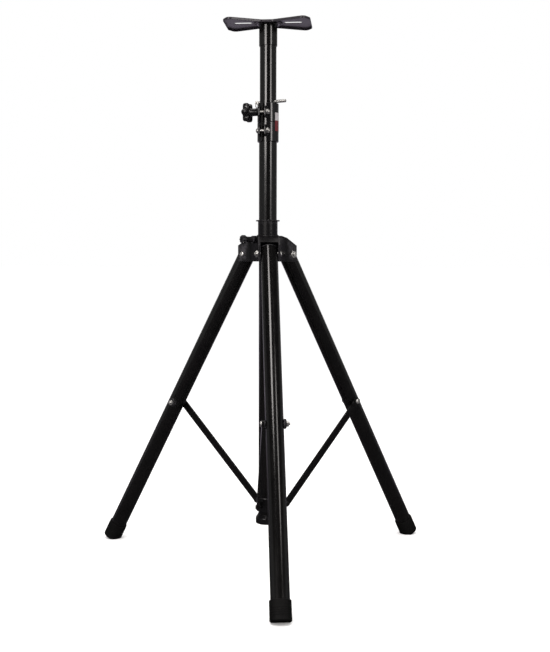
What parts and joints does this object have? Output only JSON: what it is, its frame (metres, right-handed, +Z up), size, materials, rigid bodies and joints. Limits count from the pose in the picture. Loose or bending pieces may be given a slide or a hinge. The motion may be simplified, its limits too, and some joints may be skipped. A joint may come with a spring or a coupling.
{
  "type": "speaker tripod stand",
  "caption": "Folding tripod stand with a sliding hub, braced tube legs, a clamped telescopic mast and a flat slotted tray that carries a speaker.",
  "frame": {"origin": "the point on the floor under the pole's axis", "axes": "+Z up along the pole, the front leg towards -Y, +X to the right as the front leg is faced"},
  "size_m": [0.7394, 0.6459, 1.151],
  "materials": {
    "black_enamel": "gloss black enamel on steel tube",
    "tray_enamel": "satin black enamel on pressed steel sheet",
    "black_nylon": "satin black moulded nylon",
    "grey_nylon": "plain dark grey nylon",
    "foot_rubber": "matte black rubber",
    "zinc_hardware": "bright zinc-plated steel"
  },
  "bodies": {
    "stand": {"outer_tube": "black_enamel", "tube_end_cap": "black_nylon", "lower_collar": "black_nylon", "collar_screw": "zinc_hardware", "clamp_collar": "black_nylon", "clamp_liner": "grey_nylon", "clamp_bolt": "zinc_hardware", "clamp_nut": "zinc_hardware", "clamp_stud_nut": "zinc_hardware"},
    "clamp_knob": {"clamp_knob": "black_nylon", "clamp_stud": "zinc_hardware"},
    "mast": {"mast_tube": "black_enamel", "mast_end_bush": "grey_nylon", "mast_top_plug": "grey_nylon", "tray_socket": "black_enamel", "tray_plate": "tray_enamel", "tray_screw": "zinc_hardware"},
    "lock_pin": {"lock_pin": "zinc_hardware", "pin_ring": "zinc_hardware"},
    "hub": {"hub_body": "black_nylon", "hub_ring": "black_nylon", "pivot_bolt_front": "zinc_hardware", "pivot_bolt_right": "zinc_hardware", "pivot_bolt_left": "zinc_hardware", "pivot_nut_front": "zinc_hardware", "pivot_nut_right": "zinc_hardware", "pivot_nut_left": "zinc_hardware"},
    "hub_lock": {"hub_lock_knob": "black_nylon", "hub_lock_screw": "zinc_hardware"},
    "leg_front": {"leg_tube_front": "black_enamel", "leg_top_plug_front": "black_nylon", "foot_cap_front": "foot_rubber", "brace_bolt_front": "zinc_hardware", "brace_spacer_front": "black_nylon", "brace_washer_front": "black_nylon", "brace_nut_front": "zinc_hardware"},
    "brace_front": {"brace_bar_front": "black_enamel", "brace_pin_front": "zinc_hardware"},
    "leg_right": {"leg_tube_right": "black_enamel", "leg_top_plug_right": "black_nylon", "foot_cap_right": "foot_rubber", "brace_bolt_right": "zinc_hardware", "brace_spacer_right": "black_nylon", "brace_washer_right": "black_nylon", "brace_nut_right": "zinc_hardware"},
    "brace_right": {"brace_bar_right": "black_enamel", "brace_pin_right": "zinc_hardware"},
    "leg_left": {"leg_tube_left": "black_enamel", "leg_top_plug_left": "black_nylon", "foot_cap_left": "foot_rubber", "brace_bolt_left": "zinc_hardware", "brace_spacer_left": "black_nylon", "brace_washer_left": "black_nylon", "brace_nut_left": "zinc_hardware"},
    "brace_left": {"brace_bar_left": "black_enamel", "brace_pin_left": "zinc_hardware"}
  },
  "joints": [
    {"name": "hub_slide", "type": "slide", "parent": "stand", "child": "hub", "axis": [0, 0, 1], "range_m": [0, 0.12076]},
    {"name": "leg_front_fold", "type": "hinge", "parent": "hub", "child": "leg_front", "pos_m": [0, -0.0495, 0.66231], "axis": [1, 0, 0], "range_deg": [0, 28.45]},
    {"name": "brace_front_fold", "type": "hinge", "parent": "leg_front", "child": "brace_front", "pos_m": [0, -0.22839, 0.33216], "axis": [-1, 0, 0], "range_deg": [0, 68.33]},
    {"name": "leg_right_fold", "type": "hinge", "parent": "hub", "child": "leg_right", "pos_m": [0.04287, 0.02475, 0.66231], "axis": [-0.5, 0.866, 0], "range_deg": [0, 28.45]},
    {"name": "brace_right_fold", "type": "hinge", "parent": "leg_right", "child": "brace_right", "pos_m": [0.19779, 0.11419, 0.33216], "axis": [0.5, -0.866, 0], "range_deg": [0, 68.33]},
    {"name": "leg_left_fold", "type": "hinge", "parent": "hub", "child": "leg_left", "pos_m": [-0.04287, 0.02475, 0.66231], "axis": [-0.5, -0.866, 0], "range_deg": [0, 28.45]},
    {"name": "brace_left_fold", "type": "hinge", "parent": "leg_left", "child": "brace_left", "pos_m": [-0.19779, 0.11419, 0.33216], "axis": [0.5, 0.866, 0], "range_deg": [0, 68.33]},
    {"name": "mast_slide", "type": "slide", "parent": "stand", "child": "mast", "axis": [0, 0, 1], "range_m": [0, 0.65]},
    {"name": "lock_pin_pull", "type": "slide", "parent": "mast", "child": "lock_pin", "axis": [-0.866, 0.5, 0], "range_m": [0, 0.062]},
    {"name": "clamp_knob_turn", "type": "hinge", "parent": "stand", "child": "clamp_knob", "pos_m": [-0.01248, -0.0245, 0.96031], "axis": [-0.891, 0.454, 0], "range_deg": [0, 720]},
    {"name": "hub_lock_turn", "type": "hinge", "parent": "hub", "child": "hub_lock", "pos_m": [-0.0433, -0.025, 0.69331], "axis": [-0.866, -0.5, 0], "range_deg": [0, 720]}
  ],
  "couplings": [
    {"joint": "leg_front_fold", "follows": "hub_slide", "rad_per_m": 4.1118},
    {"joint": "brace_front_fold", "follows": "hub_slide", "rad_per_m": 9.8753},
    {"joint": "leg_right_fold", "follows": "hub_slide", "rad_per_m": 4.1118},
    {"joint": "brace_right_fold", "follows": "hub_slide", "rad_per_m": 9.8753},
    {"joint": "leg_left_fold", "follows": "hub_slide", "rad_per_m": 4.1118},
    {"joint": "brace_left_fold", "follows": "hub_slide", "rad_per_m": 9.8753}
  ]
}
